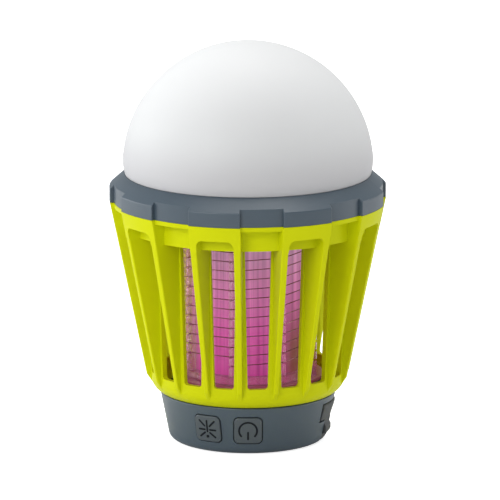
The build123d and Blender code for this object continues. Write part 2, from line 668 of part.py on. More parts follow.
def cage():
    """Cage moulding: bowl, window strips, fins in pairs, panel heads, band, top plate and lips."""
    shape = cage_wall()
    shape -= ring(0, GASKET_R[1] + 0.3, CAGE_BOTTOM_Z - 1, LIP_Z - 0.2)
    for step in range(2 * PANELS):
        shape -= at_angle(wall_window(), step * PANEL_PITCH / 2)
    shape += ring(STRIP_TOP_R - STRIP_T, FLANGE_R, CAGE_TOP_Z - FLANGE_T, CAGE_TOP_Z)
    shape += ring(BAND_R - WALL, BAND_R, BAND_BOTTOM_Z, CAGE_TOP_Z)
    one_fin = fin()
    one_head = panel_head()
    for panel in range(PANELS):
        middle = panel * PANEL_PITCH
        shape += [at_angle(one_fin, middle - FIN_ANGLE), at_angle(one_fin, middle + FIN_ANGLE),
                  at_angle(one_head, middle)]
    for turn in range(BAYONETS):
        lip = sector(LIP_R, CAGE_BORE_R + 1.0, LIP_Z, LIP_Z + LIP_T, LIP_ARC / 2)
        shape += at_angle(lip, LIP_ANGLE + turn * 360 / BAYONETS)
    for x, y in collar_screw_places():
        shape -= Pos(x, y, CAGE_TOP_Z) * Cylinder(SCREW_HOLE_R + 0.2, 6)
    return shape


def shell_gasket():
    """Flat rubber ring in the cage's rim, above the base's shoulder."""
    return ring(*GASKET_R, CAGE_BOTTOM_Z, CAGE_BOTTOM_Z + 0.7)


# ---------------------------------------------------------------- collar and dome
def collar_screw_places():
    """Middles of the three screws that join the cage to the collar."""
    reach = 35.0
    angles = [radians(PANEL_PITCH / 2 + step * 120 - 90) for step in range(3)]
    return [(reach * cos(angle), reach * sin(angle)) for angle in angles]


def block_edges(shape):
    """Edges where the collar's raised blocks end, up the side and over the cone."""
    found = []
    for edge in shape.edges():
        low, high = edge @ 0, edge @ 1
        reach = [sqrt(end.X ** 2 + end.Y ** 2) for end in (low, high)]
        turn = degrees(atan2(low.Y, low.X) - atan2(high.Y, high.X))
        if min(reach) > FLANGE_R - 0.05 and max(reach) > FLANGE_R + 0.2 and abs(turn) < 0.3 \
                and abs(low.Z - high.Z) > 0.1:
            found.append(edge)
    return found


def collar():
    """Ring between cage and dome, with raised blocks above the panels."""
    floor_z = COLLAR_BOTTOM_Z + COLLAR_FLOOR_T
    shape = turned([(LAMP_HOLE_R, COLLAR_BOTTOM_Z), (COLLAR_R, COLLAR_BOTTOM_Z),
                    (COLLAR_R, COLLAR_EDGE_Z), (COLLAR_TOP_R, COLLAR_TOP_Z),
                    (COLLAR_BORE_R, COLLAR_TOP_Z), (COLLAR_BORE_R, COLLAR_LEDGE_Z),
                    (COLLAR_LEDGE_R, COLLAR_LEDGE_Z), (COLLAR_LEDGE_R, floor_z), (LAMP_HOLE_R, floor_z)],
                   [0, 0, 0.5, 0.15, 0, 0, 0, 0, 0])
    recess = sector(FLANGE_R, COLLAR_R + 2, COLLAR_BOTTOM_Z - 1, COLLAR_TOP_Z, RECESS_HALF_ANGLE)
    for panel in range(PANELS):
        shape -= at_angle(recess, (panel + 0.5) * PANEL_PITCH)
    shape = fillet(block_edges(shape), 0.3)
    shape -= ring(*COLLAR_GROOVE_R, COLLAR_BOTTOM_Z - 1, COLLAR_LEDGE_Z - 1.0)
    for x, y in collar_screw_places():
        shape += Pos(x, y, COLLAR_BOTTOM_Z + 0.5) * Cylinder(
            2.2, 4.6, align=(Align.CENTER, Align.CENTER, Align.MIN))
        shape -= Pos(x, y, COLLAR_BOTTOM_Z) * Cylinder(PILOT_R, 7)
    return shape


def collar_screw(x, y):
    """Screw up through the cage's top plate into the collar."""
    low = CAGE_TOP_Z - FLANGE_T
    head = Pos(x, y, low - 0.6) * Cylinder(1.7, 1.2)
    head = fillet(head.edges().group_by(Axis.Z)[0], 0.4)
    shank = Pos(x, y, low) * Cylinder(SCREW_SHANK_R, 4.5, align=(Align.CENTER, Align.CENTER, Align.MIN))
    return head + shank


def dome():
    """Frosted dome: part of a ball that tucks in at its rim, with a ring down into the collar."""
    rise = DOME_TUCK_Z - DOME_CENTRE_Z
    tuck_r = sqrt(DOME_R ** 2 - rise ** 2)
    pull = 1 - DOME_TUCK_R / DOME_R
    centre_x = tuck_r * pull
    centre_z = DOME_CENTRE_Z + rise * pull

    def half_outline(offset):
        ball_r = DOME_R - offset
        roll_r = DOME_TUCK_R - offset
        scale = ball_r / DOME_R
        rim_z = COLLAR_TOP_Z + 0.1
        top = (0, 0, DOME_CENTRE_Z + ball_r)
        middle = (ball_r * cos(radians(45)), 0, DOME_CENTRE_Z + ball_r * sin(radians(45)))
        side = (tuck_r * scale, 0, DOME_CENTRE_Z + rise * scale)
        rim = (centre_x + sqrt(roll_r ** 2 - (rim_z - centre_z) ** 2), 0, rim_z)
        roll = (centre_x + sqrt(roll_r ** 2 - (ROLL_MID_Z - centre_z) ** 2), 0, ROLL_MID_Z)
        return top, middle, side, roll, rim

    outer = half_outline(0)
    inner = half_outline(WALL)
    step = (DOME_SPIGOT_R, 0, outer[4][2])
    foot_out = (DOME_SPIGOT_R, 0, DOME_BOTTOM_Z)
    foot_in = (inner[4][0], 0, DOME_BOTTOM_Z)
    outline = [
        ThreePointArc(outer[0], outer[1], outer[2]), ThreePointArc(outer[2], outer[3], outer[4]),
        Line(outer[4], step), Line(step, foot_out), Line(foot_out, foot_in), Line(foot_in, inner[4]),
        ThreePointArc(inner[4], inner[3], inner[2]), ThreePointArc(inner[2], inner[1], inner[0]),
        Line(inner[0], outer[0])]
    return revolve(make_face(Curve() + outline), Axis.Z)


def dome_seal():
    """Rubber ring under the dome's foot."""
    minor = 0.38
    return Pos(0, 0, COLLAR_LEDGE_Z + minor + 0.01) * Torus(38.85, minor)


# ---------------------------------------------------------------- write the nodes
save("base_housing", base_housing())
save("bottom_cover", bottom_cover())
save("cover_screws", *[cover_screw(x, y) for x, y in BOSS_PLACES])
save("base_deck", base_deck())
save("main_board", main_board())
save("board_screws", *[board_screw(x, y) for x, y in BOSS_PLACES])
save("battery_cell", battery_cell())
save("battery_tape", battery_tape())
save("usb_socket", usb_socket())
save("side_switches", *[at_angle(side_switch(), side * BUTTON_ANGLE) for side in (-1, 1)])
save("transformer_core", transformer_core())
save("transformer_coil", transformer_coil())
save("film_capacitors", film_capacitor(-11.6), film_capacitor(11.6))
save("rectifier_diodes", diode(-10.6), diode(10.6))
save("control_chip", control_chip())
save("power_button", power_button())
save("zap_button", zap_button())
save("usb_flap", usb_flap())
save("hang_hook", hang_hook())
save("hook_pin", hook_pin())

save("grid_lower_ring", grid_ring(DECK_TOP_Z, RING_LOW_TOP_Z))
save("grid_upper_ring", grid_ring(RING_HIGH_Z, RING_HIGH_TOP_Z))
save("grid_posts", *[grid_post(side) for side in range(GRID_SIDES)])
save("grid_wire_live", grid_wire(0))
save("grid_wire_return", grid_wire(GRID_SIDES // 2))
save("grid_leads", *[rod((x, GRID_LEAD_Y, BOARD_Z), (x, GRID_LEAD_Y, DECK_TOP_Z), LEAD_R)
                     for x in (-GRID_LEAD_X, GRID_LEAD_X)])
save("light_tube", light_tube())
save("uv_board", uv_board())
save("uv_leds", *uv_leds())
save("lamp_leads", *[rod((0, y, BOARD_Z), (0, y, LAMP_PLATE_TOP_Z), LEAD_R)
                     for y in (-LAMP_LEAD_Y, LAMP_LEAD_Y)])
save("lamp_plate", lamp_plate())
save("lamp_board", ring(0, 21.5, LAMP_PLATE_TOP_Z, LAMP_PLATE_TOP_Z + 1.2))
save("white_leds", *white_leds())

save("cage", cage())
save("shell_gasket", shell_gasket())
save("collar", collar())
save("collar_screws", *[collar_screw(x, y) for x, y in collar_screw_places()])
save("dome", dome())
save("dome_seal", dome_seal())
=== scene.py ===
# %% [markdown]
# # A camping lantern with a bug-zapping cage
# The lantern comes in from its CAD model as a fixed frame: every part already has its true
# size and place, in metres. This lesson gives the parts their finishes, rebuilds the pieces
# that need a finer skin than a machine drawing gives, and adds the small details. The frame
# is loaded first, because every later position is read from it.

# %% Load the frame
import json
from math import atan2, cos, degrees, radians, sin, sqrt, tau

import bmesh
import bpy
from mathutils import Matrix, Vector


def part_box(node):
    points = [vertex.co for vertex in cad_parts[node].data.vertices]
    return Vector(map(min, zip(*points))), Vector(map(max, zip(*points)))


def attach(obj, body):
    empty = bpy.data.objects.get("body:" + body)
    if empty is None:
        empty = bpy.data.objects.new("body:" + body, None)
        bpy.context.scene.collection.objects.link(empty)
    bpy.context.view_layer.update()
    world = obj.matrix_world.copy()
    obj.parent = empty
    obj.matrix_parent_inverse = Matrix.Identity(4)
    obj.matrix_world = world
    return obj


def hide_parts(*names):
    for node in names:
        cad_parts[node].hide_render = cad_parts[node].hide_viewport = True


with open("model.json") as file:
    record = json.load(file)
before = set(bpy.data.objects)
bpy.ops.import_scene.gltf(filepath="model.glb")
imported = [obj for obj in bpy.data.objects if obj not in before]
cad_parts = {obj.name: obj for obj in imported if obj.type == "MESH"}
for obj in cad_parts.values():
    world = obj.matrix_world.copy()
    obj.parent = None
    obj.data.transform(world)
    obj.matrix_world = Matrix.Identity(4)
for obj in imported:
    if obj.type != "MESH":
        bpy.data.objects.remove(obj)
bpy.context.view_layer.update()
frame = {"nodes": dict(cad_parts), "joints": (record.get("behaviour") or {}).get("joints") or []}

MM = 0.001

# %% [markdown]
# ## The studio
# A product like this is shown in a white room: a pale floor that runs out of view, a large soft
# light on the left, a weaker one on the right, one overhead and a small one high in front. A
# panorama of a studio wrapped round the scene would also do, but lamps can be moved one at a
# time, which is how the bright left edge and the darker front are set here. The overhead lamp
# stands a little behind, so that the collar's sloping top doesn't mirror it. The floor and the
# room are shown whiter than the light they give, because a room that bright would flatten the
# lantern. Colours are shown with the plain display transform, which keeps the room white.

# %% Floor, room and lamps
FLOOR_R = 6.0
FLOOR_HOLE_R = 20 * MM    # lets light reach the underside, hidden beneath the lantern
FLOOR_STEPS = 64
FLOOR_GAP = 0.2 * MM      # keeps the paper from sharing a plane with the lantern's underside
PAPER_WHITE = (0.8, 0.8, 0.8, 1.0)
PAPER_ROUGHNESS = 0.9
PAPER_LIFT = 0.8          # how much the paper is lifted towards white in the picture itself
ROOM_WHITE = (0.98, 0.99, 1.0, 1.0)
ROOM_SEEN = 1.0           # strength of the room as the picture shows it
ROOM_LIGHT = 0.46         # strength with which it lights the lantern
LAMP_AIM = Vector((0, 0, 70 * MM))


def seen_by_camera(tree, seen, otherwise):
    """One value for what the picture shows and another for what lights the lantern."""
    path = tree.nodes.new("ShaderNodeLightPath")
    pick = tree.nodes.new("ShaderNodeMapRange")
    pick.inputs["To Min"].default_value = otherwise
    pick.inputs["To Max"].default_value = seen
    tree.links.new(path.outputs["Is Camera Ray"], pick.inputs["Value"])
    return pick.outputs["Result"]


def studio_floor():
    """Pale paper floor, white in the picture and see-through from below, where the hook folds out."""
    bm = bmesh.new()
    bmesh.ops.create_circle(bm, segments=FLOOR_STEPS, radius=FLOOR_HOLE_R)
    spread = bmesh.ops.extrude_edge_only(bm, edges=bm.edges[:])["geom"]
    far_edge = [item for item in spread if isinstance(item, bmesh.types.BMVert)]
    bmesh.ops.scale(bm, verts=far_edge, vec=(FLOOR_R / FLOOR_HOLE_R, FLOOR_R / FLOOR_HOLE_R, 1))
    bmesh.ops.translate(bm, verts=bm.verts, vec=(0, 0, -FLOOR_GAP))
    bm.normal_update()
    bm.faces.ensure_lookup_table()
    if bm.faces[0].normal.z < 0:
        bmesh.ops.reverse_faces(bm, faces=bm.faces)
    mesh = bpy.data.meshes.new("studio_floor")
    bm.to_mesh(mesh)
    bm.free()
    floor = bpy.data.objects.new("studio_floor", mesh)
    bpy.context.scene.collection.objects.link(floor)
    paper = bpy.data.materials.new("white paper")
    paper.use_nodes = True
    tree = paper.node_tree
    shader = tree.nodes["Principled BSDF"]
    shader.inputs["Base Color"].default_value = PAPER_WHITE
    shader.inputs["Roughness"].default_value = PAPER_ROUGHNESS
    shader.inputs["Emission Color"].default_value = (1.0, 1.0, 1.0, 1.0)
    lift = seen_by_camera(tree, PAPER_LIFT, 0.0)
    tree.links.new(lift, shader.inputs["Emission Strength"])
    side = tree.nodes.new("ShaderNodeNewGeometry")
    clear = tree.nodes.new("ShaderNodeBsdfTransparent")
    by_side = tree.nodes.new("ShaderNodeMixShader")
    tree.links.new(side.outputs["Backfacing"], by_side.inputs["Fac"])
    tree.links.new(shader.outputs["BSDF"], by_side.inputs[1])
    tree.links.new(clear.outputs["BSDF"], by_side.inputs[2])
    tree.links.new(by_side.outputs["Shader"], tree.nodes["Material Output"].inputs["Surface"])
    mesh.materials.append(paper)


def soft_lamp(name, azimuth, height, distance, size, power, tint=(1.0, 1.0, 1.0)):
    """Square lamp aimed at the lantern's middle; azimuth is counted from the front towards +X."""
    place = Vector((distance * sin(radians(azimuth)), -distance * cos(radians(azimuth)), height))
    data = bpy.data.lights.new(name, "AREA")
    data.shape = "SQUARE"
    data.size = size
    data.energy = power
    data.color = tint
    lamp = bpy.data.objects.new(name, data)
    lamp.location = place
    lamp.rotation_euler = (LAMP_AIM - place).to_track_quat("-Z", "Y").to_euler()
    bpy.context.scene.collection.objects.link(lamp)


studio_floor()
soft_lamp("left_softbox", azimuth=-88, height=0.08, distance=0.85, size=0.95, power=6.2,
          tint=(0.95, 0.98, 1.0))
soft_lamp("right_softbox", azimuth=115, height=0.08, distance=0.9, size=0.6, power=2.6)
soft_lamp("top_softbox", azimuth=180, height=1.05, distance=0.25, size=0.7, power=7.4)
soft_lamp("front_softbox", azimuth=-20, height=0.6, distance=1.05, size=0.5, power=4.4)

room = bpy.data.worlds.new("white room")
room.use_nodes = True
backdrop = room.node_tree.nodes["Background"]
backdrop.inputs["Color"].default_value = ROOM_WHITE
room_strength = seen_by_camera(room.node_tree, ROOM_SEEN, ROOM_LIGHT)
room.node_tree.links.new(room_strength, backdrop.inputs["Strength"])
bpy.context.scene.world = room
bpy.context.scene.view_settings.view_transform = "Standard"

# %% [markdown]
# ## The camera
# The lantern is seen from a little above and a little to the right of its buttons, from far
# away through a long lens, so that its upright lines stay nearly parallel. The camera's place
# is worked out from an azimuth, an elevation and a distance, which are easier to adjust than
# three coordinates, and the lens from the width that the view should cover at the lantern.

# %% Set up the camera
VIEW_AZIMUTH = radians(14.25)
VIEW_ELEVATION = radians(12.43)
VIEW_DISTANCE = 2.5
VIEW_WIDTH = 0.16244      # how much the picture covers at the lantern's axis
AIM_HEIGHT = 0.0622
AIM_RIGHT = 0.00065       # the lantern stands this far left of the picture's middle

camera_data = bpy.data.cameras.new("camera")
camera_data.lens = camera_data.sensor_width * VIEW_DISTANCE / VIEW_WIDTH
camera = bpy.data.objects.new("camera", camera_data)
towards_camera = Vector((sin(VIEW_AZIMUTH) * cos(VIEW_ELEVATION),
                         -cos(VIEW_AZIMUTH) * cos(VIEW_ELEVATION), sin(VIEW_ELEVATION)))
right = Vector((cos(VIEW_AZIMUTH), sin(VIEW_AZIMUTH), 0))
camera.location = Vector((0, 0, AIM_HEIGHT)) + right * AIM_RIGHT + towards_camera * VIEW_DISTANCE
camera.rotation_euler = towards_camera.to_track_quat("Z", "Y").to_euler()
bpy.context.scene.collection.objects.link(camera)
bpy.context.scene.camera = camera
print("lens in mm:", round(camera_data.lens))

# %% [markdown]
# ## One skin for every moulding
# All the plastic and rubber parts come out of a polished or lightly sparked mould, so they share
# one effect: broad, very faint patches where the plastic cooled differently, a fine grain that
# only shows in the highlights, and a roughness that wanders a little. It could be copied into
# every material, but as a node group it is built once and each material turns its own knobs.

# %% Node helpers and the moulded skin


def add_node(tree, kind, inputs=(), **settings):
    """New node with its settings and its unlinked input values."""
    node = tree.nodes.new(kind)
    for key, value in settings.items():
        setattr(node, key, value)
    for key, value in dict(inputs).items():
        node.inputs[key].default_value = value
    return node


def new_group(name, inputs, outputs):
    """Empty shader group; inputs and outputs are (name, socket type, default) rows."""
    group = bpy.data.node_groups.new(name, "ShaderNodeTree")
    for label, kind, default in inputs:
        socket = group.interface.new_socket(name=label, in_out="INPUT", socket_type=kind)
        socket.default_value = default
    for label, kind in outputs:
        group.interface.new_socket(name=label, in_out="OUTPUT", socket_type=kind)
    return group, group.nodes.new("NodeGroupInput"), group.nodes.new("NodeGroupOutput")


SKIN_OUTPUTS = [("Colour", "NodeSocketColor"), ("Roughness", "NodeSocketFloat"),
                ("Normal", "NodeSocketVector")]


def build_moulded_skin():
    """Broad shade patches, fine grain and wandering gloss."""
    group, given, made = new_group("moulded skin", [
        ("Colour", "NodeSocketColor", (0.5, 0.5, 0.5, 1.0)),
        ("Shade", "NodeSocketFloat", 0.05),
        ("Roughness", "NodeSocketFloat", 0.45),
        ("Spread", "NodeSocketFloat", 0.08),
        ("Grain", "NodeSocketFloat", 2500.0),
        ("Relief", "NodeSocketFloat", 0.1),
    ], SKIN_OUTPUTS)
    link = group.links.new
    place = add_node(group, "ShaderNodeTexCoord")
    patches = add_node(group, "ShaderNodeTexNoise", {"Scale": 55.0, "Detail": 3.0, "Roughness": 0.55})
    grain = add_node(group, "ShaderNodeTexNoise", {"Detail": 2.0, "Roughness": 0.5})
    link(place.outputs["Object"], patches.inputs["Vector"])
    link(place.outputs["Object"], grain.inputs["Vector"])
    link(given.outputs["Grain"], grain.inputs["Scale"])
    centred = add_node(group, "ShaderNodeMath", {1: 0.5}, operation="SUBTRACT")
    link(patches.outputs["Fac"], centred.inputs[0])
    gain = add_node(group, "ShaderNodeMath", {2: 1.0}, operation="MULTIPLY_ADD")
    doubled = add_node(group, "ShaderNodeMath", {1: 2.0}, operation="MULTIPLY")
    link(centred.outputs[0], doubled.inputs[0])
    link(doubled.outputs[0], gain.inputs[0])
    link(given.outputs["Shade"], gain.inputs[1])
    shaded = add_node(group, "ShaderNodeVectorMath", operation="SCALE")
    link(given.outputs["Colour"], shaded.inputs[0])
    link(gain.outputs[0], shaded.inputs["Scale"])
    link(shaded.outputs[0], made.inputs["Colour"])
    gloss = add_node(group, "ShaderNodeMath", operation="MULTIPLY_ADD")
    link(doubled.outputs[0], gloss.inputs[0])
    link(given.outputs["Spread"], gloss.inputs[1])
    link(given.outputs["Roughness"], gloss.inputs[2])
    link(gloss.outputs[0], made.inputs["Roughness"])
    bump = add_node(group, "ShaderNodeBump", {"Distance": 0.05 * MM})
    link(given.outputs["Relief"], bump.inputs["Strength"])
    link(grain.outputs["Fac"], bump.inputs["Height"])
    link(bump.outputs["Normal"], made.inputs["Normal"])
    return group


moulded_skin = build_moulded_skin()
print("group:", moulded_skin.name, "nodes:", len(moulded_skin.nodes))

# %% [markdown]
# ## A skin for drawn and pressed metal
# The screws, the pin, the zapping wires and the shell of the charging socket are thin metal.
# Drawing and pressing leave fine lines that stretch the highlights. The lines are a noise that
# is squeezed along one direction, which is cheaper than real scratches and holds up close by.

# %% The metal skin


def build_metal_skin():
    """Stretched noise that shades and roughens a metal."""
    group, given, made = new_group("metal skin", [
        ("Colour", "NodeSocketColor", (0.6, 0.6, 0.6, 1.0)),
        ("Roughness", "NodeSocketFloat", 0.3),
        ("Stretch", "NodeSocketVector", (1.0, 1.0, 0.05)),
        ("Relief", "NodeSocketFloat", 0.1),
    ], SKIN_OUTPUTS)
    link = group.links.new
    place = add_node(group, "ShaderNodeTexCoord")
    squeezed = add_node(group, "ShaderNodeVectorMath", operation="MULTIPLY")
    lines = add_node(group, "ShaderNodeTexNoise", {"Scale": 2600.0, "Detail": 2.0})
    link(place.outputs["Object"], squeezed.inputs[0])
    link(given.outputs["Stretch"], squeezed.inputs[1])
    link(squeezed.outputs[0], lines.inputs["Vector"])
    tone = add_node(group, "ShaderNodeMapRange",
                    {"From Min": 0.3, "From Max": 0.7, "To Min": 0.86, "To Max": 1.1})
    link(lines.outputs["Fac"], tone.inputs["Value"])
    shaded = add_node(group, "ShaderNodeVectorMath", operation="SCALE")
    link(given.outputs["Colour"], shaded.inputs[0])
    link(tone.outputs["Result"], shaded.inputs["Scale"])
    link(shaded.outputs[0], made.inputs["Colour"])
    gloss = add_node(group, "ShaderNodeMath", {1: 0.15}, operation="MULTIPLY_ADD")
    link(lines.outputs["Fac"], gloss.inputs[0])
    link(given.outputs["Roughness"], gloss.inputs[2])
    link(gloss.outputs[0], made.inputs["Roughness"])
    bump = add_node(group, "ShaderNodeBump", {"Distance": 0.02 * MM})
    link(given.outputs["Relief"], bump.inputs["Strength"])
    link(lines.outputs["Fac"], bump.inputs["Height"])
    link(bump.outputs["Normal"], made.inputs["Normal"])
    return group


metal_skin = build_metal_skin()
print("group:", metal_skin.name, "nodes:", len(metal_skin.nodes))

# %% [markdown]
# ## Finishes
# A finish is one skin group feeding one shader. What is the same all over a surface, such as
# metalness or the clear coat's gloss, is set straight on the shader. The cage is bright lime
# plastic, the collar and base are slate blue-grey, the buttons and the rubber flap a shade
# darker, and the parts inside are what electronics are made of.

# %% Build the plastic and rubber finishes
SHADER_WORDS = {"coat": "Coat Weight", "specular": "Specular IOR Level", "clearness": "Transmission Weight",
                "scatter": "Subsurface Weight", "glow": "Emission Strength", "metal": "Metallic"}


def finish(name, skin, knobs, shader_values=()):
    """Material: a skin group with its knobs, feeding a Principled shader with its own constants."""
    material = bpy.data.materials.new(name)
    material.use_nodes = True
    tree = material.node_tree
    shader = tree.nodes["Principled BSDF"]
    surface = add_node(tree, "ShaderNodeGroup", node_tree=skin)
    for key, value in knobs.items():
        surface.inputs[key].default_value = value
    tree.links.new(surface.outputs["Colour"], shader.inputs["Base Color"])
    tree.links.new(surface.outputs["Roughness"], shader.inputs["Roughness"])
    tree.links.new(surface.outputs["Normal"], shader.inputs["Normal"])
    for key, value in dict(shader_values).items():
        shader.inputs[SHADER_WORDS.get(key, key)].default_value = value
    return material


def moulded(name, colour, roughness=0.45, shade=0.04, grain=2500.0, relief=0.1, spread=0.05, **shader_values):
    """Moulded plastic or rubber."""
    knobs = {"Colour": (*colour, 1.0), "Roughness": roughness, "Shade": shade, "Grain": grain,
             "Relief": relief, "Spread": spread}
    return finish(name, moulded_skin, knobs, shader_values)


finishes = {
    "lime_plastic": moulded("lime plastic", (0.63, 0.67, 0.003), roughness=0.4, shade=0.03, relief=0.12,
                            specular=0.06),
    "slate_plastic": moulded("slate plastic", (0.054, 0.081, 0.106), roughness=0.38, shade=0.04, relief=0.16,
                             specular=0.7),
    "button_plastic": moulded("button plastic", (0.06, 0.077, 0.09), roughness=0.42, relief=0.2,
                              specular=0.8),
    "flap_rubber": moulded("flap rubber", (0.07, 0.076, 0.078), roughness=0.62, relief=0.3, grain=1800.0),
    "seal_rubber": moulded("seal rubber", (0.03, 0.03, 0.032), roughness=0.6, relief=0.3),
    "grid_plastic": moulded("clear grid plastic", (0.95, 0.82, 0.9), roughness=0.12, clearness=0.85,
                            glow=0.05),
    "deck_plastic": moulded("deck plastic", (0.42, 0.12, 0.16), roughness=0.35, glow=0.08),
    "white_plastic": moulded("white plastic", (0.72, 0.72, 0.7), roughness=0.45),
    "black_plastic": moulded("black plastic", (0.02, 0.02, 0.022), roughness=0.4),
    "foam_tape": moulded("foam tape", (0.75, 0.75, 0.7), roughness=0.85, relief=0.6, grain=1200.0),
    "ferrite": moulded("ferrite", (0.045, 0.043, 0.045), roughness=0.7, relief=0.5, grain=1500.0),
    "winding_tape": moulded("winding tape", (0.7, 0.5, 0.06), roughness=0.4),
    "capacitor_red": moulded("capacitor lacquer", (0.45, 0.05, 0.02), roughness=0.3, coat=0.4),
    "lead_insulation": moulded("lead insulation", (0.35, 0.03, 0.03), roughness=0.45),
    "led_yellow": moulded("lamp phosphor", (0.85, 0.66, 0.12), roughness=0.4, shade=0.08),
    "led_violet": moulded("violet lamp body", (0.75, 0.72, 0.78), roughness=0.4),
}
# painted lamp light: the clear grid and the deck get a faint glow of this colour, standing in for the tube
# lamps' light falling on them
PAINTED_LAMP_SPILL = (0.56, 0.09, 0.22, 1.0)
for lit_by_lamp in ("grid_plastic", "deck_plastic"):
    lit_shader = finishes[lit_by_lamp].node_tree.nodes["Principled BSDF"]
    lit_shader.inputs["Emission Color"].default_value = PAINTED_LAMP_SPILL
print("moulded finishes:", len(finishes))

# %% [markdown]
# ## Metals and boards
# The wires, screws and socket use the metal skin, with metalness set on the shader. The boards
# are glass cloth under solder mask: the woven cloth shows as a faint regular relief, which a
# checker pattern at the pitch of the weave gives more simply than real threads would.

# %% Build the metal and board finishes


def metal(name, colour, roughness, stretch=(1.0, 1.0, 0.05), relief=0.1):
    """Bare metal with drawn lines."""
    knobs = {"Colour": (*colour, 1.0), "Roughness": roughness, "Stretch": stretch, "Relief": relief}
    return finish(name, metal_skin, knobs, {"metal": 1.0})


def board(name, colour, weave=1400.0):
    """Solder mask over woven glass cloth."""
    material = moulded(name, colour, roughness=0.35, shade=0.06, coat=0.3)
    tree = material.node_tree
    place = add_node(tree, "ShaderNodeTexCoord")
    cloth = add_node(tree, "ShaderNodeTexChecker", {"Scale": weave})
    bump = add_node(tree, "ShaderNodeBump", {"Strength": 0.2, "Distance": 0.03 * MM})
    tree.links.new(place.outputs["Object"], cloth.inputs["Vector"])
    tree.links.new(cloth.outputs["Fac"], bump.inputs["Height"])
    tree.links.new(bump.outputs["Normal"], tree.nodes["Principled BSDF"].inputs["Normal"])
    return material


finishes.update({
    "screw_steel": metal("screw steel", (0.42, 0.42, 0.44), 0.28),
    # the wire is real steel; its dark maroon colour is painted shade and a painted reflection of the pink
    # glowing tube
    "grid_wire_steel": metal("zapping wire", (0.36, 0.16, 0.2), 0.2, stretch=(0.05, 0.05, 1.0)),
    "socket_metal": metal("socket shell", (0.7, 0.7, 0.68), 0.3, stretch=(0.05, 1.0, 1.0)),
    "cell_foil": metal("cell foil", (0.62, 0.62, 0.64), 0.42, stretch=(0.3, 1.0, 1.0), relief=0.3),
    "printed_board": board("printed board", (0.02, 0.14, 0.06)),
    "lamp_board_white": board("lamp board", (0.78, 0.78, 0.76)),
})
print("all finishes so far:", len(finishes))

# %% [markdown]
# ## The frosted dome's finish
# The dome is milky plastic that spreads the lamps' light. Unlit, it looks white on top and
# greyer towards its foot, where the collar blocks the light that would pass through it from
# behind. True scattering would show that, but it is slow and grainy, so the finish carries a
# soft shade that grows over the lowest part of the dome, and the shader adds a little scattering.

# %% Build the dome's finish
dome_low, dome_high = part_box("dome")


def frosted(name, colour, painted_shade_colour, foot_z, fade_z):
    """Milky plastic with a painted shade that darkens its colour between two heights towards its foot."""
    material = moulded(name, colour, roughness=0.5, shade=0.012, relief=0.1, scatter=0.25, specular=0.15)
    tree = material.node_tree
    shader = tree.nodes["Principled BSDF"]
    shader.inputs["Subsurface Radius"].default_value = (1.0, 1.0, 1.0)
    shader.inputs["Subsurface Scale"].default_value = 4 * MM
    skin = next(node for node in tree.nodes if node.type == "GROUP")
    place = add_node(tree, "ShaderNodeTexCoord")
    parts = add_node(tree, "ShaderNodeSeparateXYZ")
    rise = add_node(tree, "ShaderNodeMapRange", {"From Min": foot_z, "From Max": fade_z},
                    interpolation_type="SMOOTHERSTEP")
    blend = add_node(tree, "ShaderNodeMix", {"A": (*painted_shade_colour, 1.0), "B": (*colour, 1.0)}, data_type="RGBA")
    tree.links.new(place.outputs["Object"], parts.inputs[0])
    tree.links.new(parts.outputs["Z"], rise.inputs["Value"])
    tree.links.new(rise.outputs["Result"], blend.inputs["Factor"])
    tree.links.new(blend.outputs[2], skin.inputs["Colour"])
    return material


DOME_WHITE = (0.69, 0.695, 0.695)
# painted shade: the grey the dome fades to at its foot, where the collar blocks the light that would pass
# through it from behind
DOME_FOOT_PAINTED_SHADE = (0.57, 0.565, 0.575)
finishes["frosted_plastic"] = frosted("frosted plastic", DOME_WHITE, DOME_FOOT_PAINTED_SHADE,
                                      foot_z=dome_low.z + 4 * MM, fade_z=dome_low.z + 24 * MM)
print("dome height in mm:", round((dome_high.z - dome_low.z) / MM, 1))

# %% [markdown]
# ## The glowing tube's finish
# Behind the zapping wires stands a frosted tube with ultraviolet lamps inside. It glows pale
# lilac at the top and a deeper magenta at the foot, with upright streaks from its fluted wall.
# The glow is an emission colour from a ramp over the height, multiplied by a noise that is
# squeezed upright, so that it stays with the tube from every side. The lamps inside face forward
# and back, so low down on both sides the tube is hardly lit; there glow and colour are mixed
# towards a brown painted shade.

# %% Build the tube's finish
tube_low, tube_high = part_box("light_tube")


def ramp(tree, stops):
    """Colour ramp with (position, colour) stops."""
    node = tree.nodes.new("ShaderNodeValToRGB")
    while len(node.color_ramp.elements) < len(stops):
        node.color_ramp.elements.new(0.5)
    for element, (position, colour) in zip(node.color_ramp.elements, stops):
        element.position = position
        element.color = (*colour, 1.0)
    return node


def falling_off(tree, value, full, none):
    """1 where a value is at full and 0 where it is at none, with a soft change between."""
    fall = add_node(tree, "ShaderNodeMapRange", {"From Min": none, "From Max": full},
                    interpolation_type="SMOOTHSTEP")
    tree.links.new(value, fall.inputs["Value"])
    return fall.outputs["Result"]


